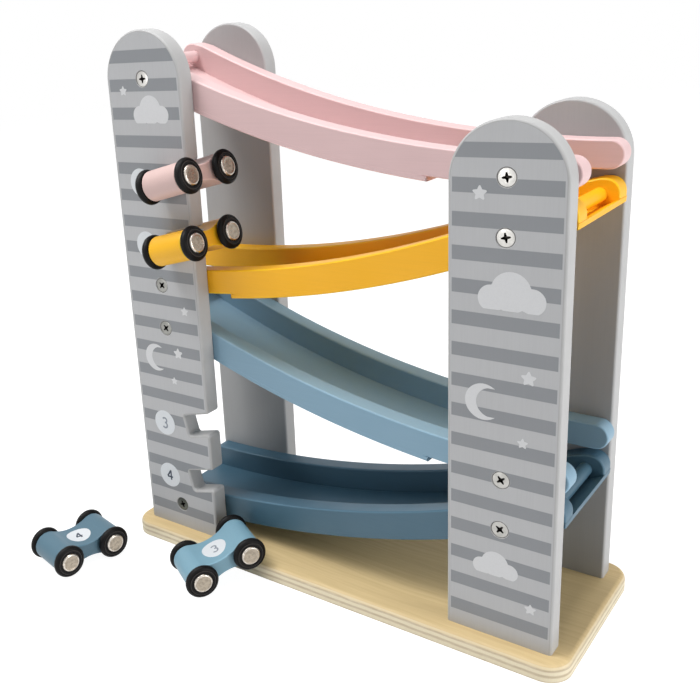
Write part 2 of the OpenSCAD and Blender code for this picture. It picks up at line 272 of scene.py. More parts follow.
def ply_board(name):
    """Birch plywood, sanded and left bare: long matt grain on top, stacked plies round its edge.

    The veneer's figure is 2.2 mm wide and wanders over 22 mm, and its fibre is 0.3 mm. On the edge
    the sawn end grain is 0.6 mm. The plies wave over 14 mm, and the dark ones are broken into
    stretches of 5 mm where the saw has torn them.
    """
    made, tree, place = material(name)
    axes = node(tree, SPLIT, {0: place}).node.outputs
    warp = mottle(tree, place, 22.0, (6, 1, 1), 0.0, 1.0, 2.0)
    y = node(tree, MATH, {0: warp, 1: 16.0, 2: axes["Y"]}, operation="MULTIPLY_ADD")
    bent = node(tree, JOIN, {0: axes["X"], 1: y, 2: axes["Z"]})
    figure = mottle(tree, bent, 2.2, (30, 1, 1), 0.3, 0.72, 4.0)
    fibre = mottle(tree, bent, 0.3, (40, 1, 1), 0.5, 0.8)
    top = node(tree, MIX, {0: figure, 6: linear("#DFC694"), 7: linear("#D2B886")}, 2, data_type="RGBA")
    pores = node(tree, RANGE, {0: fibre, 3: 0.0, 4: 0.22})
    top = node(tree, MIX, {0: pores, 6: top, 7: linear("#B0946A")}, 2, data_type="RGBA")
    ends = mottle(tree, place, 0.6, (1, 1, 0.5), 0.4, 0.75)
    ends = node(tree, RANGE, {0: ends, 3: 0.0, 4: 0.25})
    side = node(tree, MIX, {0: ends, 6: linear("#EFE4C9"), 7: linear("#CDB98E")}, 2, data_type="RGBA")
    wave = mottle(tree, place, 14.0, (1, 1, 0.3), 0.2, 0.8)
    height = node(tree, MATH, {0: wave, 1: 0.5, 2: axes["Z"]}, operation="MULTIPLY_ADD")
    broken = mottle(tree, place, 5.0, (1, 1, 0.2), 0.25, 0.6)
    # Dark lines round the edge, as (height of the middle, half width, strength): cross plies, and the
    # lowest along the board's foot
    for z, half, strength in ((0.6, 0.6, 0.5), (3.6, 1.0, 0.55), (6.85, 0.9, 0.6), (8.5, 0.4, 0.2)):
        away = node(tree, MATH, {0: height, 1: z}, operation="SUBTRACT")
        away = node(tree, MATH, {0: away}, operation="ABSOLUTE")
        ply = node(tree, RANGE, {0: away, 1: half * 0.3, 2: half, 3: strength, 4: 0.0})
        ply = node(tree, MATH, {0: ply, 1: node(tree, RANGE, {0: broken, 3: 0.45, 4: 1.0})},
                   operation="MULTIPLY")
        side = node(tree, MIX, {0: ply, 6: side, 7: linear("#A28458")}, 2, data_type="RGBA")
    facing = node(tree, "ShaderNodeNewGeometry", out="True Normal")
    level = node(tree, MATH, {0: node(tree, SPLIT, {0: facing}, "Z")}, operation="ABSOLUTE")
    flat = node(tree, RANGE, {0: level, 1: 0.3, 2: 0.85})
    coat = node(tree, MIX, {0: flat, 6: side, 7: top}, 2, data_type="RGBA")
    shape = node(tree, BUMP, {"Height": fibre, "Distance": 0.03 * MM, "Strength": 1.0})
    rough = node(tree, RANGE, {0: figure, 3: 0.5, 4: 0.62})
    skin = node(tree, SURFACE, {"Base Color": coat, "Roughness": rough, "IOR": 1.5, "Normal": shape})
    node(tree, OUTPUT, {"Surface": skin})
    return made


def ink(name, colour):
    """Opaque screen-printing ink on the enamel: one flat colour, hardly uneven.

    The screen's threads are about 0.1 mm apart. Their unevenness is drawn 0.7 mm wide to show.
    """
    made, tree, place = material(name)
    cover = mottle(tree, place, 0.7, low=0.3, high=0.75, detail=2.0)
    solid = linear(colour)
    faint = node(tree, RANGE, {0: cover, 3: 0.0, 4: 0.16})
    coat = node(tree, MIX, {0: faint, 6: solid, 7: shade(solid, 0.75)}, 2, data_type="RGBA")
    shape = node(tree, BUMP, {"Height": cover, "Distance": 0.006 * MM, "Strength": 1.0})
    rough = node(tree, RANGE, {0: cover, 3: 0.42, 4: 0.52})
    skin = node(tree, SURFACE, {"Base Color": coat, "Roughness": rough, "IOR": 1.5, "Normal": shape})
    node(tree, OUTPUT, {"Surface": skin})
    return made


def zinc_steel(name, bright, dull):
    """Pressed screw heads of steel, zinc-plated, each painted its own grey from bright to dull: a painted
    glint for the light it catches.

    The plating's crystals are finer than the picture shows and are drawn 0.12 mm wide. Patches 2.5 mm
    wide darken the heads: stains from handling, and painted dark reflection.
    """
    made, tree, place = material(name)
    stain = mottle(tree, place, 2.5)
    crystals = mottle(tree, place, 0.12, detail=2.0)
    # Painted glint: each head's grey lies between dull and bright by how much light it catches
    tone = node(tree, MARK, out="Fac", attribute_name="tone")
    plate = node(tree, MIX, {0: tone, 6: linear(dull), 7: linear(bright)}, 2, data_type="RGBA")
    # Handling stains, and painted dark reflection
    stain_and_dark_reflection = node(tree, RANGE, {0: stain, 3: 0.0, 4: 0.25})
    coat = node(tree, MIX, {0: stain_and_dark_reflection, 6: plate, 7: linear(dull)}, 2, data_type="RGBA")
    shape = node(tree, BUMP, {"Height": crystals, "Distance": 0.004 * MM, "Strength": 1.0})
    rough = node(tree, RANGE, {0: stain, 3: 0.28, 4: 0.4})
    skin = node(tree, SURFACE, {"Base Color": coat, "Metallic": 1.0, "Roughness": rough, "Normal": shape})
    node(tree, OUTPUT, {"Surface": skin})
    return made


def drawn_steel(name, colour):
    """Steel wire drawn through a die: fine lines along the axle that spread its reflections.

    The die's scratches are about 0.02 mm wide and drawn 0.12 mm wide. Stains are 2.5 mm wide.
    """
    made, tree, place = material(name)
    lines = mottle(tree, place, 0.12, (1, 1, 20), detail=2.0)
    stain = mottle(tree, place, 2.5)
    steel = linear(colour)
    coat = node(tree, MIX, {0: stain, 6: steel, 7: shade(steel, 0.85)}, 2, data_type="RGBA")
    shape = node(tree, BUMP, {"Height": lines, "Distance": 0.003 * MM, "Strength": 1.0})
    rough = node(tree, RANGE, {0: stain, 3: 0.24, 4: 0.38})
    skin = node(tree, SURFACE, {"Base Color": coat, "Metallic": 1.0, "Roughness": rough, "Normal": shape})
    node(tree, OUTPUT, {"Surface": skin})
    return made


def turned_nickel(name, rim, face):
    """Nickel-plated hubs faced on a lathe, a ringed face in a rounded rim. The rim is painted lighter and
    the face darker: partly a polished rim, partly painted reflection.

    The turning marks are about 0.05 mm apart on the real one and drawn 0.16 mm apart. Spots of 1.5 mm
    darken the face: tarnish, and painted dark reflection.
    """
    made, tree, place = material(name)
    flat = HUB_R - HUB_ROUND
    radius = node(tree, MARK, out="Fac", attribute_name="radius")
    rings = mottle(tree, node(tree, JOIN, {0: radius}), 0.16, detail=2.0)
    stain = mottle(tree, place, 1.5, low=0.42, high=0.62)
    # Painted reflection in part: the rim lighter than the face
    outside = node(tree, RANGE, {0: radius, 1: flat - 0.05, 2: flat + 0.15})
    coat = node(tree, MIX, {0: outside, 6: linear(face), 7: linear(rim)}, 2, data_type="RGBA")
    # Tarnish spots, and painted dark reflection
    stain_and_dark_reflection = node(tree, RANGE, {0: stain, 3: 0.0, 4: 0.45})
    coat = node(tree, MIX, {0: stain_and_dark_reflection, 6: coat, 7: shade(linear(face), 0.45)}, 2, data_type="RGBA")
    shape = node(tree, BUMP, {"Height": rings, "Distance": 0.006 * MM, "Strength": 1.0})
    rough = node(tree, RANGE, {0: stain, 3: 0.27, 4: 0.38})
    skin = node(tree, SURFACE, {"Base Color": coat, "Metallic": 1.0, "Roughness": rough, "Normal": shape})
    node(tree, OUTPUT, {"Surface": skin})
    return made


def moulded_rubber(name):
    """Black tyre rubber from a blasted mould: nearly no shine, a 0.25 mm grain and a little dust.

    The dust lies in patches of 3 mm. A grey ring is painted on the ridge inside the side wall's groove: a
    painted highlight.
    """
    made, tree, place = material(name)
    grain = mottle(tree, place, 0.25)
    dust = mottle(tree, place, 3.0, low=0.45, high=0.8, detail=4.0)
    dusty = node(tree, RANGE, {0: dust, 3: 0.0, 4: 0.4})
    coat = node(tree, MIX, {0: dusty, 6: linear("#0B0A0B"), 7: linear("#211E1E")}, 2, data_type="RGBA")
    radius = node(tree, MARK, out="Fac", attribute_name="radius")
    # Painted highlight: a grey ring on the groove's ridge
    painted_ridge_highlight = node(tree, MATH, {0: radius, 1: RIDGE_R}, operation="SUBTRACT")
    painted_ridge_highlight = node(tree, MATH, {0: painted_ridge_highlight}, operation="ABSOLUTE")
    painted_ridge_highlight = node(tree, RANGE, {0: painted_ridge_highlight, 1: 0.08, 2: 0.3, 3: 0.55, 4: 0.0})
    coat = node(tree, MIX, {0: painted_ridge_highlight, 6: coat, 7: linear("#5A5654")}, 2, data_type="RGBA")
    shape = node(tree, BUMP, {"Height": grain, "Distance": 0.015 * MM, "Strength": 1.0})
    rough = node(tree, RANGE, {0: dust, 3: 0.4, 4: 0.55})
    skin = node(tree, SURFACE, {"Base Color": coat, "Roughness": rough, "IOR": 1.52,
                                "Specular IOR Level": 0.13, "Normal": shape})
    node(tree, OUTPUT, {"Surface": skin})
    return made


# The plain grey is painted darker than the printed boards' grey: painted shade for the back uprights'
# inner faces, which lie in shadow
grey = painted("grey_satin_enamel", "#A9A9A9", UPRIGHT_GRAIN)
print_left = painted("striped_enamel_left", "#B9BABC", UPRIGHT_GRAIN, 288.0)
print_right = painted("striped_enamel_right", "#B9BABC", UPRIGHT_GRAIN, 240.0)
ramp_paint = [
    painted("pink_satin_enamel", "#DCBCBC", RAIL_GRAIN),
    painted("yellow_satin_enamel", "#FCB804", RAIL_GRAIN),
    painted("light_blue_satin_enamel", "#82A4B9", RAIL_GRAIN),
    painted("petrol_blue_satin_enamel", "#446679", RAIL_GRAIN),
]
car_paint = {
    "pink": painted("pink_car_enamel", "#D8BAB5", PARKED_GRAIN),
    "yellow": painted("yellow_car_enamel", "#FABB1C", PARKED_GRAIN),
    "blue": painted("light_blue_car_enamel", "#7BA3B5", EVEN),
    "petrol": painted("petrol_blue_car_enamel", "#507182", EVEN),
}
plywood = ply_board("bare_birch_plywood")
screw_zinc = zinc_steel("zinc_plated_steel", "#D2D0CC", "#5C5E58")
# The driver's cross lies deep in shadow and holds dust, so its zinc is nearly black
recess_zinc = zinc_steel("zinc_in_the_cross", "#2A2826", "#171615")
axle_steel = drawn_steel("drawn_steel", "#C8C6C0")
hub_nickel = turned_nickel("turned_nickel", "#D4CCC2", "#A79C8D")
tyre_rubber = moulded_rubber("moulded_black_rubber")
white_ink = ink("white_ink", "#D6D7D9")
disc_ink = ink("white_disc_ink", "#DCE0E4")
number_ink = {"1": ink("ink_1", "#8E8087"), "2": ink("ink_2", "#8A8476"),
              "3": ink("ink_3", "#8B929C"), "4": ink("ink_4", "#3C4655")}


# How the pieces are shaped


class Place:
    """A flat place: p runs along across, q along up and d along their cross product."""

    def __init__(self, origin, across, up):
        self.origin = Vector(origin)
        self.across = Vector(across).normalized()
        self.up = Vector(up).normalized()
        self.out = self.across.cross(self.up)

    def turn(self, p, q, d):
        """The direction with these shares."""
        return self.across * p + self.up * q + self.out * d

    def at(self, p, q, d):
        """The point at these distances."""
        return self.origin + self.turn(p, q, d)


class Saddle(Place):
    """The hollow top of a car's waist: d is measured from its surface."""

    def at(self, p, q, d):
        return super().at(p, q, d + WAIST_MID - math.sqrt(WAIST_R ** 2 - p * p))


class Build:
    """Gathers the corners and faces of one piece, then makes its object.

    Each corner carries what the finishes read there: edge is how much painted highlight and wear the
    paint shows, radius how far from the axis it was turned round, and the last mark how bright a screw
    head is painted, a painted glint.
    """

    def __init__(self):
        self.points = []
        self.normals = []
        self.edge = []
        self.radius = []
        self.tone = []
        self.bright = 1.0
        self.faces = []
        self.slots = []

    def ring(self, points, normals=None, edge=0.0, radius=0.0):
        """Adds corners and gives their numbers."""
        first = len(self.points)
        self.points += points
        self.normals += normals or [Vector((0, 0, 1))] * len(points)
        self.edge += [edge] * len(points)
        self.radius += [radius] * len(points)
        self.tone += [self.bright] * len(points)
        return list(range(first, len(self.points)))

    def face(self, corners, slot=0):
        """One face; corners that fall together count once."""
        corners = tuple(dict.fromkeys(corners))
        if len(corners) > 2:
            self.faces.append(corners)
            self.slots.append(slot)

    def wall(self, low, high, slot=0):
        """Faces between two closed rings, which run counter-clockwise seen from the high one."""
        for i in range(len(low)):
            self.face((low[i - 1], low[i], high[i], high[i - 1]), slot)

    def cap(self, loops, out, slot=0):
        """Fills flat loops: the first is the outline, the others are holes in it."""
        index = [i for loop in loops for i in loop]
        for corners in tessellate_polygon([[self.points[i] for i in loop] for loop in loops]):
            a, b, c = [index[k] for k in corners]
            facing = (self.points[b] - self.points[a]).cross(self.points[c] - self.points[a])
            self.face((a, b, c) if facing.dot(out) > 0 else (c, b, a), slot)

    def make(self, name, materials, body, nodes=(), slot=None, exact=False):
        """The object. With exact, its corners keep the normals they were given."""
        mesh = bpy.data.meshes.new(name)
        mesh.from_pydata([p * MM for p in self.points], [], self.faces)
        for each in materials:
            mesh.materials.append(each)
        mesh.polygons.foreach_set("material_index", self.slots)
        for mark, values in (("edge", self.edge), ("radius", self.radius), ("tone", self.tone)):
            mesh.attributes.new(mark, "FLOAT", "POINT").data.foreach_set("value", values)
        mesh.polygons.foreach_set("use_smooth", [True] * len(mesh.polygons))
        if exact:
            mesh.normals_split_custom_set_from_vertices(self.normals)
        else:
            mesh.set_sharp_from_angle(angle=SHARP)
        made = bpy.data.objects.new(name, mesh)
        bpy.context.collection.objects.link(made)
        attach(made, body)
        if nodes:
            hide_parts(*nodes)
        return made


def turned(v, angle):
    """A flat vector turned counter-clockwise."""
    c, s = math.cos(angle), math.sin(angle)
    return Vector((v.x * c - v.y * s, v.x * s + v.y * c))


def rays(count):
    """Unit vectors all the way round, counter-clockwise."""
    return [Vector((math.cos(a), math.sin(a))) for a in (math.tau * k / count for k in range(count))]


def arc(middle, radius, start, end, step=6.0, side=1):
    """Points and outward normals on an arc, angles in degrees; side is -1 on a hollow one."""
    count = max(2, round(abs(end - start) / step))
    made = []
    for k in range(count + 1):
        a = math.radians(start + (end - start) * k / count)
        ray = Vector((math.cos(a), math.sin(a)))
        made.append((Vector(middle) + ray * radius, ray * side))
    return made


def rounded(corners, step=7.5):
    """The closed outline, counter-clockwise, through corners (p, q, radius)."""
    made = []
    for i, (p, q, r) in enumerate(corners):
        tip = Vector((p, q))
        back = (Vector(corners[i - 1][:2]) - tip).normalized()
        on = (Vector(corners[(i + 1) % len(corners)][:2]) - tip).normalized()
        half = back.angle(on) / 2
        middle = tip + (back + on).normalized() * (r / math.sin(half))
        start = tip + back * (r / math.tan(half)) - middle
        end = tip + on * (r / math.tan(half)) - middle
        swing = math.atan2(start.x * end.y - start.y * end.x, start.dot(end))
        normal = Vector((-back.y, back.x))
        count = max(2, round(math.degrees(abs(swing)) / step))
        for k in range(count + 1):
            made.append((middle + turned(start, swing * k / count), turned(normal, swing * k / count)))
    return tidy(made)


def tidy(outline):
    """The outline without points that fall on the one before."""
    return [a for a, b in zip(outline, outline[-1:] + outline[:-1]) if (a[0] - b[0]).length > 1e-4]


def board(build, outline, place, thick, edges, bores=(), foot=None, face_slot=0, ease=None, band=0.0):
    """A board with quarter-round edges, edges[0] at depth 0 and edges[1] at its full depth.

    A bore is (p, q, [(radius, depth, normal along the radius, normal along the depth), ...]).
    Below foot the outline keeps its height and is drawn in sideways only.
    ease(p) scales the edge there. band is how much painted highlight the board's narrow side gets, from 0
    to 1.
    """
    middle = sum(p.x for p, n in outline) / len(outline)
    rings = []
    for side in (0, 1):
        e = edges[side]
        turns = [math.radians(22.5 * k) for k in range(5)]
        for t in (reversed(turns) if side == 0 else turns):
            points, normals = [], []
            for p, n in outline:
                own = e * ease(p) if ease else e
                draw = own * (1 - math.cos(t))
                depth = own * (1 - math.sin(t))
                depth = thick - depth if side else depth
                if foot is not None and p.y < foot:
                    q = Vector((p.x - math.copysign(draw, p.x - middle), p.y))
                else:
                    q = p - n * draw
                points.append(place.at(q.x, q.y, depth))
                out = math.sin(t) * (1 if side else -1)
                normals.append(place.turn(n.x * math.cos(t), n.y * math.cos(t), out))
            # Painted highlight and some wear all round the quarter, painted highlight on the narrow side
            # as much as band says, none on the face
            highlight_and_wear = band if t == turns[0] else float(t != turns[-1])
            rings.append(build.ring(points, normals, highlight_and_wear))
    for low, high in zip(rings, rings[1:]):
        build.wall(low, high)
    ends = [[rings[0]], [rings[-1]]]
    around = rays(SCREW_SIDES)
    for p, q, walls in bores:
        hole = []
        for r, depth, along, deep in walls:
            points = [place.at(p + v.x * r, q + v.y * r, depth) for v in around]
            normals = [place.turn(v.x * along, v.y * along, deep).normalized() for v in around]
            hole.append(build.ring(points, normals))
        for low, high in zip(hole, hole[1:]):
            build.wall(high, low)
        ends[0].append(hole[0])
        ends[1].append(hole[-1])
    build.cap(ends[0], -place.out)
    build.cap(ends[1], place.out, face_slot)


def lathe(build, profile, place, segments=64, closed=False):
    """Turns a profile of (radius, depth) round the axis at the place's origin; gives its rings."""
    rings = []
    around = rays(segments)
    for r, d in profile:
        if r < 1e-6:
            rings.append(build.ring([place.at(0, 0, d)]) * segments)
        else:
            rings.append(build.ring([place.at(v.x * r, v.y * r, d) for v in around], radius=r))
    for low, high in zip(rings, rings[1:]):
        build.wall(low, high)
    if closed:
        build.wall(rings[-1], rings[0])
    return rings


def bend(start, end, middle, radius, steps):
    """Profile points on an arc, angles in degrees."""
    turns = [math.radians(start + (end - start) * k / steps) for k in range(steps + 1)]
    return [(middle[0] + radius * math.cos(a), middle[1] + radius * math.sin(a)) for a in turns]


def box(node_name):
    """A CAD node's lowest and highest corner in mm."""
    lo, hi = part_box(node_name)
    return lo / MM, hi / MM


def ramp_height(i):
    """Height over the base of the lowest point of ramp i, counted from 0 at the top."""
    return RAMP_CLEAR + (3 - i) * RAMP_PITCH


def bent(radius, u):
    """Height at u of a ramp's bent line: its floor's underside has BEND_R and is lowest, at 0."""
    return BEND_R - math.sqrt(radius ** 2 - (u - RAMP_MID) ** 2)


# The base board

lo, hi = box("base")
build = Build()
corners = ((lo.x, lo.y), (hi.x, lo.y), (hi.x, hi.y), (lo.x, hi.y))
outline = rounded([(x, y, BASE_CORNER) for x, y in corners], 5.0)
board(build, outline, Place((0, 0, lo.z), (1, 0, 0), (0, 1, 0)), hi.z - lo.z, BASE_EDGES)
build.make("base_board", [plywood], "track", ["base"], "birch_plywood")

# The uprights and their screws


def upright_outline(height, notched):
    """Board with a round top; the notches open in its right edge and slope down inwards."""
    corners = [(0, 0, FOOT_ROUND), (POST_WIDTH, 0, FOOT_ROUND)]
    c, s = math.cos(NOTCH_TILT), math.sin(NOTCH_TILT)
    for mouth in NOTCH_MOUTHS if notched else ():
        lip = NOTCH_HALF * math.tan(NOTCH_TILT)
        for along, over, r in ((-lip, -NOTCH_HALF, LIP_ROUND), (-NOTCH_DEEP, -NOTCH_HALF, NOTCH_ROUND),
                               (-NOTCH_DEEP, NOTCH_HALF, NOTCH_ROUND), (lip, NOTCH_HALF, LIP_ROUND)):
            corners.append((POST_WIDTH + along * c - over * s, mouth + along * s + over * c, r))
    # The square top corners only lead the sides up to where the round top starts
    half = POST_WIDTH / 2
    side = rounded(corners + [(POST_WIDTH, height, 1.0), (0, height, 1.0)])
    body = [(p, n) for p, n in side if p.y < height - half]
    return body + arc((half, height - half), half, 0, 180, 4.0)


def countersink(thick):
    """The hole of a screw, from the inner face to the outer one, with an eased rim.

    It is a little wider than the head, which leaves a dark ring round it.
    """
    r = HEAD_R + HEAD_GAP
    shank = SHANK_R + HOLE_CLEAR
    rim = 0.2
    cone = thick - HEAD_SUNK - r + shank
    walls = [(shank + 0.05, 0, 0, -1), (shank, 0.05, -1, 0), (shank, cone, -1, 0.5)]
    walls += [(r, thick - HEAD_SUNK, -1, 0.5)]
    for k in range(1, 4):
        t = math.radians(30 * k)
        out, up = math.cos(t), math.sin(t)
        walls.append((r + rim * (1 - out), thick - rim * (1 - up), -out, up))
    return walls


def screw(build, place, angle):
    """A countersunk wood screw; the place's origin is the middle of its head."""
    def cross(reach, root, tip, depth):
        """The four arms of the driver's recess, wider at their root than at their tip."""
        made = []
        for k in range(4):
            a = math.radians(90 * k + angle)
            for along, over in ((root, -root), (reach, -tip), (reach, tip)):
                v = turned(Vector((along, over)), a)
                made.append(place.at(v.x, v.y, depth))
        return build.ring(made)
    profile = [(0, -SCREW_LONG), (0.4, -SCREW_LONG), (SHANK_R, SCREW_TIP - SCREW_LONG)]
    profile += [(SHANK_R, SHANK_R - HEAD_R), (HEAD_R - 0.12, -0.1), (HEAD_R - 0.12, -0.06)]
    # The head's edge is eased in two steps, then its flat top begins
    head = lathe(build, profile, place, SCREW_SIDES)[-1]
    flat = HEAD_R - 0.3
    rim = build.ring([place.at(v.x * flat, v.y * flat, 0) for v in rays(SCREW_SIDES)])
    build.wall(head, rim)
    top = cross(2.3, 0.72, 0.33, 0)
    deep = cross(1.2, 0.4, 0.2, -1.6)
    build.cap([rim, top], place.out)
    build.wall(top[::-1], deep[::-1], 1)
    build.cap([deep], place.out, 1)


# Each upright's name, facing, notches and face, then each screw's turn in degrees and how bright its head
# is painted (a painted glint), from 0 to 1, from the top down
UPRIGHTS = (
    ("front_left", 1, True, print_left, ((3, 1.0), (48, 0.4), (40, 0.35), (20, 0.0))),
    ("back_left", -1, False, grey, ((10, 0.8), (62, 0.5), (35, 0.9), (80, 0.6))),
    ("front_right", 1, False, print_right, ((8, 1.0), (12, 0.95), (38, 0.7), (52, 0.65))),
    ("back_right", -1, False, grey, ((25, 0.7), (70, 0.9), (5, 0.5), (44, 0.8))),
)
for name, way, notched, face, screws in UPRIGHTS:
    upright = "upright_" + name
    lo, hi = box(upright)
    place = Place((lo.x, hi.y, lo.z) if way > 0 else (hi.x, lo.y, lo.z), (way, 0, 0), (0, 0, 1))
    height = hi.z - lo.z
    left = name.endswith("left")
    # Screws sit on the upright's middle line, a little below the middle of each ramp's rails
    heights = []
    for i in range(4):
        high = (i % 2 == 0) == left
        u = POST_WIDTH / 2 if high else 2 * TRACK_HALF - POST_WIDTH / 2
        rise = (bent(RAIL_R, u) + bent(TOP_R, u)) / 2
        drop = HIGH_DROP if high else LOW_DROP
        heights.append(ramp_height(i) + rise - drop)
    bores = [(POST_WIDTH / 2, z, countersink(POST_THICK)) for z in heights]
    build = Build()
    # The narrow sides get the full painted highlight
    board(build, upright_outline(height, notched), place, POST_THICK, (POST_EDGE, POST_EDGE), bores,
          foot=0.5, face_slot=1, band=1.0)
    build.make("upright_board_" + name, [grey, face], "track", [upright], "grey_paint", exact=True)
    build = Build()
    for z, (angle, bright) in zip(heights, screws):
        middle = place.at(POST_WIDTH / 2, z, POST_THICK - HEAD_SUNK)
        # Each head's painted glint
        build.bright = bright
        screw(build, Place(middle, place.across, place.up), angle)
    finish = [screw_zinc, recess_zinc]
    build.make("ramp_screws_" + name, finish, "track", ["screws_" + name], "screw_steel")

# The ramps


def ramp_arc(radius, start, end, count, side):
    """Points of a bent strip's edge from u = start to u = end; side is 1 on the underside."""
    made = []
    for k in range(count + 1):
        u = start + (end - start) * k / count
        v = bent(radius, u)
        normal = Vector((u - RAMP_MID, v - BEND_R)).normalized() * side
        made.append((Vector((u, v)), normal))
    return made


def rail_outline():
    """The rail seen from the front, its high end at the left."""
    lo_v = bent(RAIL_R, RAMP_LOW)
    hi_v = bent(TOP_R, RAMP_LOW)
    start_v = bent(RAIL_R, RAMP_HIGH)
    # The bent top edge meets the flat stretch over the dowel here
    meet = RAMP_MID - math.sqrt(TOP_R ** 2 - (BEND_R - FLAT_TOP) ** 2)
    low_end = RAMP_LOW - LOW_ROUND
    bottom = ramp_arc(RAIL_R, RAMP_HIGH + SMALL_ROUND, low_end - 0.4, 60, 1)
    top = ramp_arc(TOP_R, low_end - 0.4, meet + 4, 60, -1)
    made = arc((RAMP_HIGH + SMALL_ROUND, start_v + 0.19), SMALL_ROUND, 180, 244.5, 15)
    made += bottom + arc((low_end, lo_v + LOW_ROUND), LOW_ROUND, 270, 360)
    made += arc((low_end, hi_v - LOW_ROUND), LOW_ROUND, 0, 90) + top
    # Sanding has eased the angle between bend and flat over 7 mm
    made += [(Vector((meet - 3, FLAT_TOP - 0.05)), Vector((0, 1)))]
    made += arc((RAMP_HIGH + HIGH_ROUND, FLAT_TOP - HIGH_ROUND), HIGH_ROUND, 90, 180)
    return tidy(made)


def floor_outline(end):
    """The bent floor seen from the front, cut square at both ends with its corners broken."""
    cut = FLOOR_CUT
    low = ramp_arc(BEND_R, RAMP_HIGH + cut, end - cut, 60, 1)
    top = ramp_arc(RAIL_R, end - cut, RAMP_HIGH + cut, 60, -1)
    right = [(Vector((end, low[-1][0].y + cut)), Vector((1, 0)))]
    right += [(Vector((end, top[0][0].y - cut)), Vector((1, 0)))]
    left = [(Vector((RAMP_HIGH, top[-1][0].y - cut)), Vector((-1, 0)))]
    left += [(Vector((RAMP_HIGH, low[0][0].y + cut)), Vector((-1, 0)))]
    return low + right + top + left


def rail_ease(end):
    """A rail's edges are square where the floor, up to its end, is glued on and painted over."""
    def ease(p):
        joined = abs(p.x) < end - 0.5 and p.y - bent(RAIL_R, abs(p.x)) < JOINT_NEAR
        return JOINED if joined else 1.0
    return ease


def floor_ease(p):
    """A floor's edges are square along its top, where the rails are glued on."""
    return JOINED if p.y - bent(RAIL_R, abs(p.x)) > -JOINT_NEAR else 1.0


def mirrored(outline):
    """The outline of a ramp whose high end is at the right."""
    return [(Vector((-p.x, p.y)), Vector((-n.x, n.y))) for p, n in reversed(outline)]


SLOTS = ("pink_paint", "yellow_paint", "blue_paint", "petrol_paint")
rails = rail_outline()
for i in range(4):
    paint = [ramp_paint[i]]
    start = -TRACK_HALF if i % 2 == 0 else TRACK_HALF
    low = BASE_TOP + ramp_height(i)
    name = f"ramp_{i + 1}_"
    end = FLOOR_END if i < 3 else LAST_FLOOR_END
    shape = rails if i % 2 == 0 else mirrored(rails)
    for side in ("front", "back"):
        rail = name + side + "_rail"
        lo, hi = box(rail)
        build = Build()
        place = Place((start, hi.y, low), (1, 0, 0), (0, 0, 1))
        # The rails' narrow sides get 0.3 of the painted highlight
        board(build, shape, place, RAIL_THICK, (RAIL_EDGE, RAIL_EDGE), ease=rail_ease(end), band=0.3)
        build.make(name + "side_" + side, paint, "track", [rail], SLOTS[i], exact=True)
    lo, hi = box(name + "floor")
    shape = floor_outline(end)
    shape = shape if i % 2 == 0 else mirrored(shape)
    build = Build()
    place = Place((start, hi.y, low), (1, 0, 0), (0, 0, 1))
    board(build, shape, place, hi.y - lo.y, (FLOOR_EDGE, FLOOR_EDGE), ease=floor_ease)
    build.make(name + "bent_floor", paint, "track", [name + "floor"], SLOTS[i], exact=True)
    lo, hi = box(name + "dowel")
    build = Build()
    long = hi.y - lo.y
    profile = [(0, 0), (DOWEL_R - DOWEL_CUT, 0), (DOWEL_R, DOWEL_CUT)]
    profile += [(DOWEL_R, long - DOWEL_CUT), (DOWEL_R - DOWEL_CUT, long), (0, long)]
    place = Place(((lo.x + hi.x) / 2, lo.y, (lo.z + hi.z) / 2), (0, 0, 1), (1, 0, 0))
    lathe(build, profile, place)
    build.make(name + "stop_dowel", paint, "track", [name + "dowel"], SLOTS[i])

# The cars

# The turn from a round end's outermost point to where it meets the waist
TANGENT = math.degrees(math.acos(-HALF_BASE / (LOBE_R + WAIST_R)))


def bone_outline():
    """Side view of a car's body: two round ends blended into a narrow waist."""
    waist_turn = 180 - TANGENT
    right = arc((HALF_BASE, 0), LOBE_R, -TANGENT, TANGENT)
    left = arc((-HALF_BASE, 0), LOBE_R, 180 - TANGENT, 180 + TANGENT)
    top = arc((0, WAIST_MID), WAIST_R, -waist_turn, waist_turn - 180, 4.0, -1)
    low = arc((0, -WAIST_MID), WAIST_R, 180 - waist_turn, waist_turn, 4.0, -1)
    return tidy(right + top + left + low)


def strokes(figure):
    """The plain numbers 1 to 4 as lines about 4 mm wide and 7 mm high, round their middle."""
    def curve(middle, radius, start, end):
        return [p for p, n in arc(middle, radius, start, end, 12.0)]
    lines = {
        "1": [[(-1.3, 2.1), (0.3, 3.2)], [(0.3, 3.3), (0.3, -3.3)]],
        "2": [curve((0, 1.45), 1.75, 160, -35) + [(-1.9, -2.9)], [(-2.0, -2.95), (2.0, -2.95)]],
        "3": [curve((0, 1.55), 1.6, 150, -90), curve((0, -1.6), 1.75, 90, -150)],
        "4": [[(0.9, 3.2), (-2.1, -1.2)], [(-2.1, -1.25), (2.2, -1.25)], [(0.9, 3.3), (0.9, -3.3)]],
    }[figure]
    return [[Vector(p) for p in line] for line in lines]


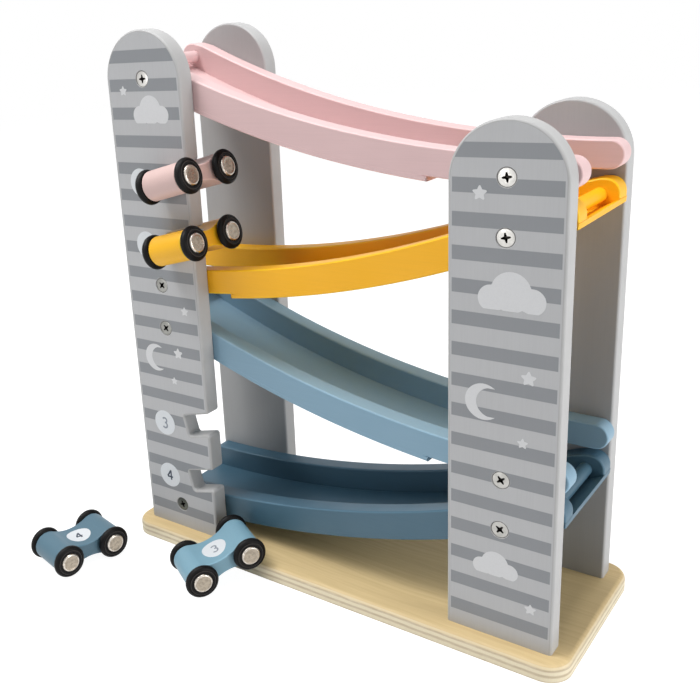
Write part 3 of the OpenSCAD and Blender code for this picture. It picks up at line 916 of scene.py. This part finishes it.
def number_disc(name, place, radius, figure, body):
    """A printed white disc with a plain number, as two thin films."""
    build = Build()
    around = rays(72)
    rings = [build.ring([place.at(v.x * radius, v.y * radius, INK_LOW) for v in around])]
    # Six rings let a disc follow the hollow of a car's waist
    for k in range(6):
        r = radius * (1 - k / 6)
        rings.append(build.ring([place.at(v.x * r, v.y * r, DISC_TOP) for v in around]))
    for low, high in zip(rings, rings[1:]):
        build.wall(low, high)
    build.face(rings[-1])
    build.make(name, [disc_ink], body)
    build = Build()
    scale = radius / DISC_R
    for lift, line in enumerate(strokes(figure)):
        line = [p * scale for p in line]
        # Strokes that cross lie at slightly different heights
        top = NUMBER_TOP + 0.004 * lift
        rows = []
        for k, p in enumerate(line):
            ahead = line[min(k + 1, len(line) - 1)]
            behind = line[max(k - 1, 0)]
            way = (ahead - behind).normalized() * STROKE_HALF * scale
            side = Vector((-way.y, way.x))
            a, b = p - side, p + side
            rows.append(build.ring([place.at(a.x, a.y, NUMBER_LOW), place.at(b.x, b.y, NUMBER_LOW),
                                    place.at(b.x, b.y, top), place.at(a.x, a.y, top)]))
        for low, high in zip(rows, rows[1:]):
            build.wall(low, high)
        build.face(rows[0][::-1])
        build.face(rows[-1])
    build.make(name + "_number", [number_ink[figure]], body)


joints = {j["name"]: j for j in frame["joints"]}
bone = bone_outline()
for figure, car in enumerate(CARS, 1):
    ends = [Vector(joints[f"{car}_car_axle_{e}_spin"]["pos_m"]) / MM for e in "ab"]
    axle = Vector(joints[f"{car}_car_axle_a_spin"]["axis"]).normalized()
    long = (ends[1] - ends[0]).normalized()
    up = axle.cross(long)
    if up.z < 0:
        up = -up
    side = up.cross(long)
    middle = (ends[0] + ends[1]) / 2
    body = f"{car}_car"
    build = Build()
    place = Place(middle + side * BODY_WIDE / 2, long, up)
    rim = AXLE_HOLE + HOLE_CUT
    hole = [(rim, 0, 0, -1), (AXLE_HOLE, HOLE_CUT, -1, 0)]
    hole += [(AXLE_HOLE, BODY_WIDE - HOLE_CUT, -1, 0), (rim, BODY_WIDE, 0, 1)]
    holes = [(k * HALF_BASE, 0, hole) for k in (-1, 1)]
    board(build, bone, place, BODY_WIDE, (BODY_EDGE, BODY_EDGE), holes)
    build.make(body + "_wood", [car_paint[car]], body, [body + "_body"], body + "_paint", exact=True)
    number_disc(body + "_disc", Saddle(middle, long, side), CAR_DISC_R, str(figure), body)
    for e, end in zip("ab", ends):
        wheels = f"{car}_car_wheels_{e}"
        tyres, hubs = Build(), Build()
        for out in (side, -side):
            spot = Place(end, long, out.cross(long))
            r = TYRE_WIDE / 2
            tread = bend(-78, 76, (TYRE_R - r, WHEEL_IN + r), r, 14)
            face = WHEEL_IN + TYRE_WIDE
            # A moulded groove runs round the side wall
            wall = [(7.95, face - 0.45), (7.7, face - 0.45), (7.55, face - 0.05), (7.3, face)]
            wall += [(6.3, face), (6.0, face - 0.15), (5.85, face - 0.4), (HUB_R, face - 0.4)]
            lathe(tyres, [(HUB_R, WHEEL_IN)] + tread + wall, spot, 96, closed=True)
            crown = bend(0, 90, (HUB_R - HUB_ROUND, HUB_OUT - HUB_ROUND), HUB_ROUND, 8)
            # Inside its rim the face is dished by 0.17 mm
            dish = [(4.25, HUB_OUT - 0.06), (4.0, HUB_OUT - 0.15), (3.0, HUB_OUT - 0.17)]
            dish += [(1.5, HUB_OUT - 0.17), (0, HUB_OUT - 0.17)]
            lathe(hubs, [(0, WHEEL_IN), (HUB_R, WHEEL_IN)] + crown + dish, spot)
        tyres.make(f"{body}_tyres_on_{e}", [tyre_rubber], wheels, [f"{body}_tyres_{e}"], "tyre_rubber")
        hubs.make(f"{body}_hubs_on_{e}", [hub_nickel], wheels, [f"{body}_hubs_{e}"], "hub_metal")

# Printed discs and simple shapes on the front uprights


def printed_at(name, p, q):
    """A place on the front of an upright, p from its left side and q up from its foot."""
    lo, hi = box("upright_" + name)
    return Place((lo.x + p, lo.y, lo.z + q), (1, 0, 0), (0, 0, 1))


for figure, height in zip("1234", DISC_HEIGHTS):
    place = printed_at("front_left", DISC_ACROSS, height)
    number_disc("parking_disc_" + figure, place, DISC_R, figure, "track")


def film(name, outline, place):
    """A printed shape: a film 0.04 mm thick."""
    build = Build()
    low = build.ring([place.at(p.x, p.y, INK_LOW) for p in outline])
    high = build.ring([place.at(p.x, p.y, SHAPE_TOP) for p in outline])
    build.wall(low, high)
    build.cap([high], place.out)
    build.make(name, [white_ink], "track")


def cloud(scale):
    """Three round puffs on a flat bottom, drawn by rays from the cloud's middle to its outside."""
    middle = Vector((0, 2))
    bottom = -1.2
    puffs = ((-6.0, 2.2, 4.2), (0.0, 4.6, 6.2), (6.5, 2.4, 4.0))
    made = []
    for ray in rays(120):
        reach = 0.0
        for x, y, r in puffs:
            puff = Vector((x, y)) - middle
            along = ray.dot(puff)
            inside = along ** 2 - puff.length_squared + r ** 2
            if inside > 0:
                reach = max(reach, along + math.sqrt(inside))
        p = middle + ray * reach
        made.append(Vector((p.x, max(p.y, bottom))) * scale)
    return made


def star(radius):
    """Five points with soft tips."""
    corners = []
    for k in range(10):
        a = math.radians(90 + 36 * k)
        r = radius if k % 2 == 0 else radius * 0.5
        corners.append((math.cos(a) * r, math.sin(a) * r, radius * (0.12 if k % 2 == 0 else 0.05)))
    return [p for p, n in rounded(corners, 20.0)]


def moon(radius):
    """A crescent that opens to the right."""
    outer = arc((0, 0), radius, 52, 308, 8.0)
    inner = arc((radius * 0.42, 0), radius * 0.812, -104, -256, 8.0)
    return [p for p, n in tidy(outer + inner)]


# Each shape's upright, kind, place across and up, and size
SHAPES = (
    ("front_left", "cloud", 31.0, 252.0, 1.25), ("front_left", "star", 12.0, 268.0, 3.2),
    ("front_left", "moon", 17.0, 112.0, 8.5), ("front_left", "star", 35.0, 117.0, 4.0),
    ("front_left", "star", 30.0, 99.0, 2.8), ("front_left", "star", 43.0, 144.0, 3.2),
    ("front_right", "star", 15.0, 222.0, 4.0), ("front_right", "cloud", 30.0, 172.0, 1.5),
    ("front_right", "moon", 18.0, 125.0, 9.0), ("front_right", "star", 39.0, 140.0, 4.2),
    ("front_right", "star", 37.0, 108.0, 3.0), ("front_right", "cloud", 25.0, 36.0, 1.1),
    ("front_right", "star", 43.0, 22.0, 3.4),
)
DRAW = {"cloud": cloud, "star": star, "moon": moon}
for k, (side, kind, p, q, size) in enumerate(SHAPES, 1):
    film(f"printed_{kind}_{k}", DRAW[kind](size), printed_at(side, p, q))

# CAD pieces that are shown as they are

for name, piece in frame["nodes"].items():
    if "_axle_" in name or name == "base_screws":
        piece.data.materials.clear()
        piece.data.materials.append(axle_steel if "_axle_" in name else screw_zinc)

# Floor, light and camera

scene = bpy.context.scene


def looked_at(tree):
    """1 for rays from the eye, straight or by way of gloss or glass, 0 for rays that light the toy."""
    ray = node(tree, "ShaderNodeLightPath").node.outputs
    seen = node(tree, MATH, {0: ray["Is Camera Ray"], 1: ray["Is Glossy Ray"]}, operation="MAXIMUM")
    return node(tree, MATH, {0: seen, 1: ray["Is Transmission Ray"]}, operation="MAXIMUM")


def flat_floor():
    """A white sheet that shows only a faint shadow to the camera."""
    made, tree, place = material("white_sheet")
    matt = node(tree, "ShaderNodeBsdfDiffuse", {"Color": [0.82, 0.82, 0.82, 1]})
    glow = node(tree, "ShaderNodeEmission", {"Color": [1, 1, 1, 1], "Strength": 0.94})
    pale = node(tree, "ShaderNodeBsdfDiffuse", {"Color": [0.3, 0.3, 0.3, 1]})
    seen = node(tree, "ShaderNodeAddShader", {0: glow, 1: pale})
    both = node(tree, "ShaderNodeMixShader", {0: looked_at(tree), 1: matt, 2: seen})
    node(tree, OUTPUT, {"Surface": both})
    mesh = bpy.data.meshes.new("sheet")
    # It lies 0.2 mm under the toy, so that no two faces fall together
    corners = [(x, y, -0.2 * MM) for x, y in ((-3, -3), (3, -3), (3, 3), (-3, 3))]
    mesh.from_pydata(corners, [], [(0, 1, 2, 3)])
    mesh.materials.append(made)
    sheet = bpy.data.objects.new("sheet", mesh)
    scene.collection.objects.link(sheet)


def light(name, spot, aim, size, level):
    """A square soft light; level is its brightness as a surface."""
    lamp = bpy.data.lights.new(name, "AREA")
    lamp.shape = "SQUARE"
    lamp.size = size
    lamp.energy = level * math.pi * size * size
    made = bpy.data.objects.new(name, lamp)
    made.location = spot
    made.rotation_euler = (Vector(aim) - Vector(spot)).to_track_quat("-Z", "Y").to_euler()
    scene.collection.objects.link(made)


flat_floor()
# Five softboxes, in metres, all aimed at the middle of the toy
aim = (0, 0, 0.15)
light("top_softbox", (0.0, 0.0, 1.6), aim, 0.6, 8.38)
light("left_high_softbox", (-0.614, -0.43, 1.449), aim, 0.5, 14.87)
light("front_high_softbox", (-0.407, -0.874, 1.299), aim, 0.5, 4.89)
light("front_low_softbox", (-0.561, -1.389, 0.229), aim, 0.28, 7.42)
light("right_softbox", (1.472, 0.129, 0.41), aim, 0.8, 6.86)

# A white room: it lights the toy a little from all sides, and looked at it is pure white
world = bpy.data.worlds.new("white_room")
world.use_nodes = True
scene.world = world
tree = world.node_tree
tree.nodes.clear()
room = node(tree, "ShaderNodeBackground", {"Color": [1, 1, 1, 1], "Strength": 0.17})
back = node(tree, "ShaderNodeBackground", {"Color": [1, 1, 1, 1], "Strength": 1.0})
shown = node(tree, "ShaderNodeMixShader", {0: looked_at(tree), 1: room, 2: back})
node(tree, "ShaderNodeOutputWorld", {"Surface": shown})

scene.view_settings.view_transform = "Standard"
# The camera's focal length, picture side and lens middle in the photograph's pixels. They were
# fitted with its place to the boards' edges there, and the shift is only what the framing needs.
FOCAL = 926.37
PICTURE = 700
MIDDLE = (230.0, 322.95)
SENSOR = 36
eye = bpy.data.cameras.new("camera")
eye.sensor_width = SENSOR
eye.lens = FOCAL / PICTURE * SENSOR
eye.shift_x = (PICTURE / 2 - MIDDLE[0]) / PICTURE
eye.shift_y = (MIDDLE[1] - PICTURE / 2) / PICTURE
eye.clip_start = 0.05
camera = bpy.data.objects.new("camera", eye)
forward = Vector((-0.60632, 0.73470, -0.30429)).normalized()
right = Vector((0.78348, 0.61741, -0.07041))
right = (right - forward * right.dot(forward)).normalized()
upward = right.cross(forward)
turn = Matrix((right, upward, -forward)).transposed().to_4x4()
camera.matrix_world = Matrix.Translation((0.25683, -0.42017, 0.30703)) @ turn
scene.collection.objects.link(camera)
scene.camera = camera
